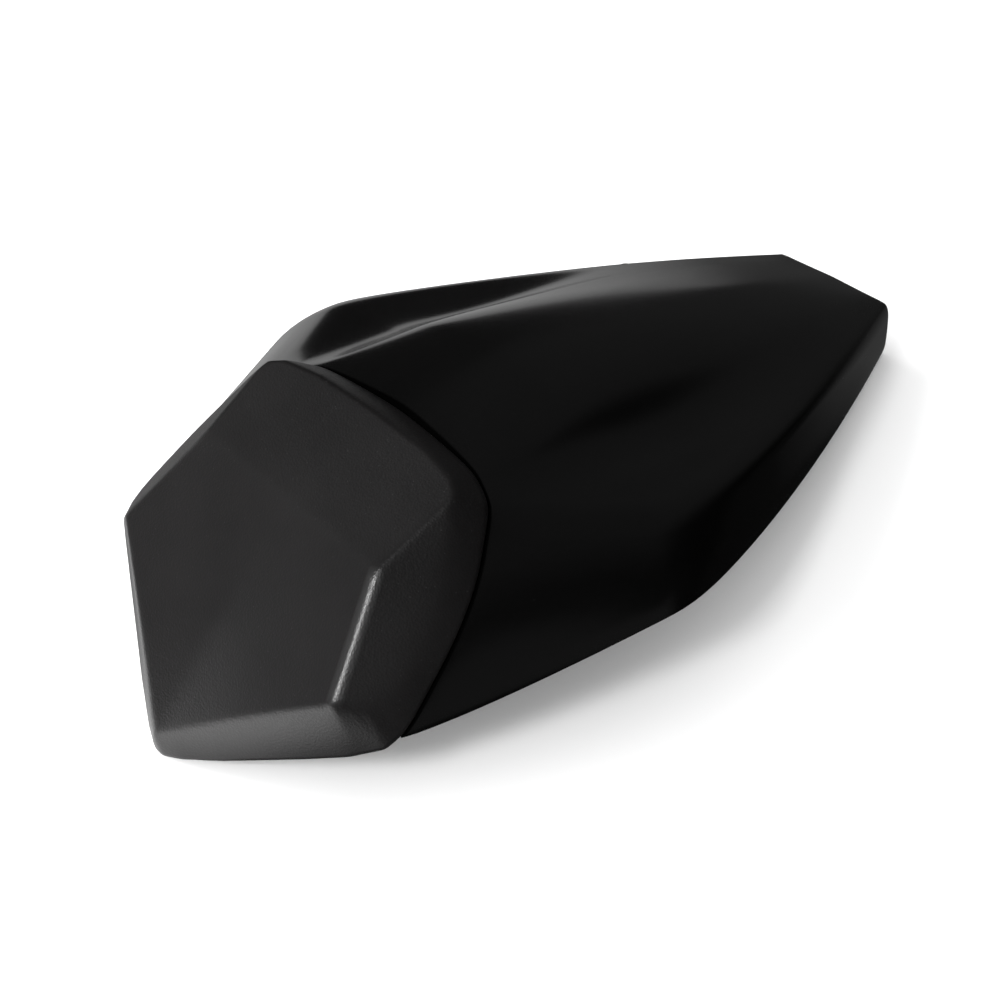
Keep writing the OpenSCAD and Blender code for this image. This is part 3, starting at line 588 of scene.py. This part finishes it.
def facet_height(u, w):
    """Height of the pad's four large facets over the joint plane."""
    aside = np.sqrt(u ** 2 + 25) - 5
    spine = PAD_DEPTH - 1 + np.minimum(aside / APEX[0], 1.2)
    upper = spine - 0.22 * (w - APEX[1])
    lower = spine + (0.147 - 0.052 * np.minimum(aside / LOW_CORNER[0], 1)) * (w - APEX[1])
    flank = PAD_DEPTH - 0.75 * (np.abs(u) - APEX[0]) - 0.144 * (w - APEX[1])
    return soft_least((upper, lower, flank), FACET_SOFTNESS)


def pad_height(place, outline, crease, crease_height):
    """Height of the pad at places of the joint plane; between outline and crease the rim climbs."""
    out_gap, _, _ = to_line(place, outline)
    in_gap, at, nearest = to_line(place, crease)
    following = (nearest + 1) % len(crease)
    level = mix(crease_height[nearest], crease_height[following], at)
    edge_point = mix(crease[nearest], crease[following], at[:, None])
    band = to_line(edge_point, outline)[0]
    inside = (out_gap + in_gap > band * 1.02 + 0.05) & (out_gap > band * 0.98)
    climb = np.where(inside, 1 + in_gap / band, out_gap / (out_gap + in_gap + 1e-9))
    rim = level * np.where(climb < 1, 1.3 * climb - 0.3 * climb ** 2, 1 + 0.7 * (climb - 1))
    height = soft_least((rim, facet_height(place[:, 0], place[:, 1])), RIM_SOFTNESS)
    return np.maximum(height, 0) + PAD_LIFT


def make_pad():
    outline = pad_outline(PAD_AROUND)
    crease = np.array(PAD_CREASE + tuple((-u, w) for u, w in PAD_CREASE[-2:0:-1]), float)
    crease_height = facet_height(crease[:, 0], crease[:, 1])
    middle = np.array(PAD_MIDDLE)

    def level_ring(line, height):
        return np.column_stack((line, np.full(PAD_AROUND, height)))

    recess = mix(outline, np.array(PAD_BACK), 0.107)
    rings = [level_ring(recess, 2.6), level_ring(recess, 0.3),
             level_ring(mix(outline, middle, 0.006), 0.3)]
    for share in np.concatenate((np.linspace(0, 0.3, 34)[:-1], np.linspace(0.3, 1, 48)[:-1])):
        place = mix(outline, middle, share)
        rings.append(np.column_stack((place, pad_height(place, outline, crease, crease_height))))
    bm = bmesh.new()
    rows = [[bm.verts.new(Vector(on_joint(*p)) * MM) for p in ring] for ring in rings]
    bm.faces.new(rows[0][::-1])
    for before, row in zip(rows, rows[1:]):
        for k in range(PAD_AROUND):
            after = (k + 1) % PAD_AROUND
            bm.faces.new((before[k], before[after], row[after], row[k]))
    top = facet_height(*(np.array([c]) for c in PAD_MIDDLE))[0] + PAD_LIFT
    centre = bm.verts.new(Vector(on_joint(*PAD_MIDDLE, top)) * MM)
    for k in range(PAD_AROUND):
        bm.faces.new((rows[-1][k], rows[-1][(k + 1) % PAD_AROUND], centre))
    bmesh.ops.recalc_face_normals(bm, faces=bm.faces)
    piece = new_object("backrest_cushion", bm, "pad_skin", "backrest_pad", FINISHES["pad_skin"])


make_shell()
make_pad()

# Finishes of the pieces that keep their own shape
KEPT = {
    "pan_plastic": ("pad_carrier", "base_pan"),
    "zinc_steel": ("pad_studs", "pad_washers", "pad_nuts", "striker_bracket", "striker_pin",
                   "striker_bolts", "striker_nuts", "rear_hook"),
    "black_steel": ("base_screws", "hook_screws"),
    "buffer_rubber": ("front_buffer_left", "front_buffer_right", "rear_buffer_left",
                      "rear_buffer_right"),
}
for finish, nodes in KEPT.items():
    for kept in (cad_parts[node] for node in nodes):
        if not kept.material_slots:
            kept.data.materials.append(FINISHES[finish])
        for slot in kept.material_slots:
            slot.material = FINISHES[finish]


# Floor, light and camera


def make_floor():
    """A white sweep; to glossy rays it is a painted reflection instead, a glow that is bright only to
    the left, before and behind the part.
    """
    bm = bmesh.new()
    bmesh.ops.create_grid(bm, x_segments=1, y_segments=1, size=4.0)
    made, sh, surface, place, end = material("floor_white")
    sh.feed(surface, "Base Color", sh.blend(sh.noise(place, 3.0, 2.0), grey(0.93), grey(0.95)))
    sh.feed(surface, "Roughness", 0.8)
    sh.feed(surface, "Specular IOR Level", 0.2)
    # Painted reflection: glossy rays see a glow in place of the floor. It is strongest just before the
    # pad, weak to the left and behind, and dark elsewhere.
    x, y, _ = sh.add("ShaderNodeSeparateXYZ", {"Vector": place}).outputs
    leftward = sh.spread(sh.maths("ADD", x, sh.product(y, 0.55)), -0.16, 0.04, 0.5, 0.012)
    ahead = sh.product(sh.spread(y, -0.19, -0.24, 0.0, 1.0), sh.spread(x, 0.16, 0.06, 0.0, 1.0),
                       sh.spread(y, -0.42, -0.34, 0.0, 1.0), 7.0)
    behind = sh.product(sh.spread(y, 0.12, 0.20, 0.0, 0.075), sh.spread(x, 0.15, 0.07, 0.0, 1.0))
    painted_reflection_glow = sh.maths("ADD", sh.maths("MAXIMUM", leftward, behind), ahead)
    mirrored = sh.add("ShaderNodeEmission", {"Strength": painted_reflection_glow})
    by_gloss = sh.add("ShaderNodeLightPath").outputs["Is Glossy Ray"]
    choice = sh.add("ShaderNodeMixShader", {"Fac": by_gloss, 1: surface.outputs["BSDF"],
                                            2: mirrored.outputs["Emission"]})
    sh.feed(end, "Surface", choice.outputs["Shader"])
    new_object("floor", bm, finish=made)


def make_sky():
    """An even white sky; mirrored in gloss it is a dark studio, dimmer to the far left and right."""
    world = bpy.data.worlds.new("studio")
    bpy.context.scene.world = world
    world.use_nodes = True
    world.node_tree.nodes.clear()
    sh = Shader(world.node_tree)
    way = sh.add("ShaderNodeTexCoord").outputs["Generated"]
    x, y, z = sh.add("ShaderNodeSeparateXYZ", {"Vector": way}).outputs
    height = sh.spread(z, 0.0, 0.7, 0.045, 0.10)
    right = sh.maths("SUBTRACT", x, sh.product(z, 0.6))
    studio = sh.product(height, sh.spread(right, -0.15, 0.22, 1.0, 0.03),
                        sh.spread(x, -0.45, -0.66, 1.0, 0.5))
    low_right = sh.product(sh.spread(z, 0.52, 0.62, 0.13, 0.0), sh.spread(x, 0.75, 0.80, 0.0, 1.0),
                           sh.spread(y, 0.0, 0.3, 1.0, 0.0))
    mirrored = sh.maths("ADD", studio, low_right)
    by_gloss = sh.add("ShaderNodeLightPath").outputs["Is Glossy Ray"]
    level = sh.add("ShaderNodeMix", {0: by_gloss, 2: 0.95, 3: mirrored}, data_type="FLOAT")
    light = sh.add("ShaderNodeBackground", {"Strength": level.outputs[0]})
    sh.add("ShaderNodeOutputWorld", {"Surface": light.outputs["Background"]})


def soft_light(name, place, aim, size, power, reflected):
    data = bpy.data.lights.new(name, "AREA")
    data.shape = "RECTANGLE"
    data.size, data.size_y = size
    data.energy = power
    lamp = bpy.data.objects.new(name, data)
    bpy.context.scene.collection.objects.link(lamp)
    lamp.location = place
    lamp.rotation_euler = (Vector(aim) - Vector(place)).to_track_quat("-Z", "Y").to_euler()
    lamp.visible_glossy = reflected


# Name, place, what it points at, width and height, watts, and whether the gloss mirrors it
LIGHTS = (
    ("key", (-1.3, -0.45, 1.15), (0, 0, 0.03), (1.1, 1.1), 24, False),
    ("overhead", (0.1, 0.0, 2.0), (0, 0, 0), (3.2, 3.2), 8, False),
    ("left_fill", (-0.5, -1.5, 0.7), (0, -0.2, 0), (0.9, 0.7), 10, False),
    ("right_fill", (0.6, -1.4, 0.6), (0.1, -0.1, 0), (0.9, 0.5), 6, False),
    ("left_window", (-0.92, -0.62, 0.74), (-0.06, -0.10, 0.08), (0.8, 0.8), 2.2, True),
    ("edge_glint", (0.22, -0.895, 0.856), (0.053, -0.15, 0.064), (0.22, 0.22), 6.4, True),
)

make_floor()
make_sky()
for light in LIGHTS:
    soft_light(*light)

view = bpy.data.cameras.new("photograph")
view.lens, view.sensor_width = CAMERA_LENS, CAMERA_SENSOR
view.clip_start, view.clip_end = 0.01, 50
camera = bpy.data.objects.new("photograph", view)
bpy.context.scene.collection.objects.link(camera)
camera.location = CAMERA_PLACE
camera.rotation_euler = Euler((math.radians(90 - CAMERA_DOWN), 0, math.radians(CAMERA_TURN)), "XYZ")
bpy.context.scene.camera = camera

bpy.context.scene.view_settings.view_transform = "Standard"
bpy.context.view_layer.update()
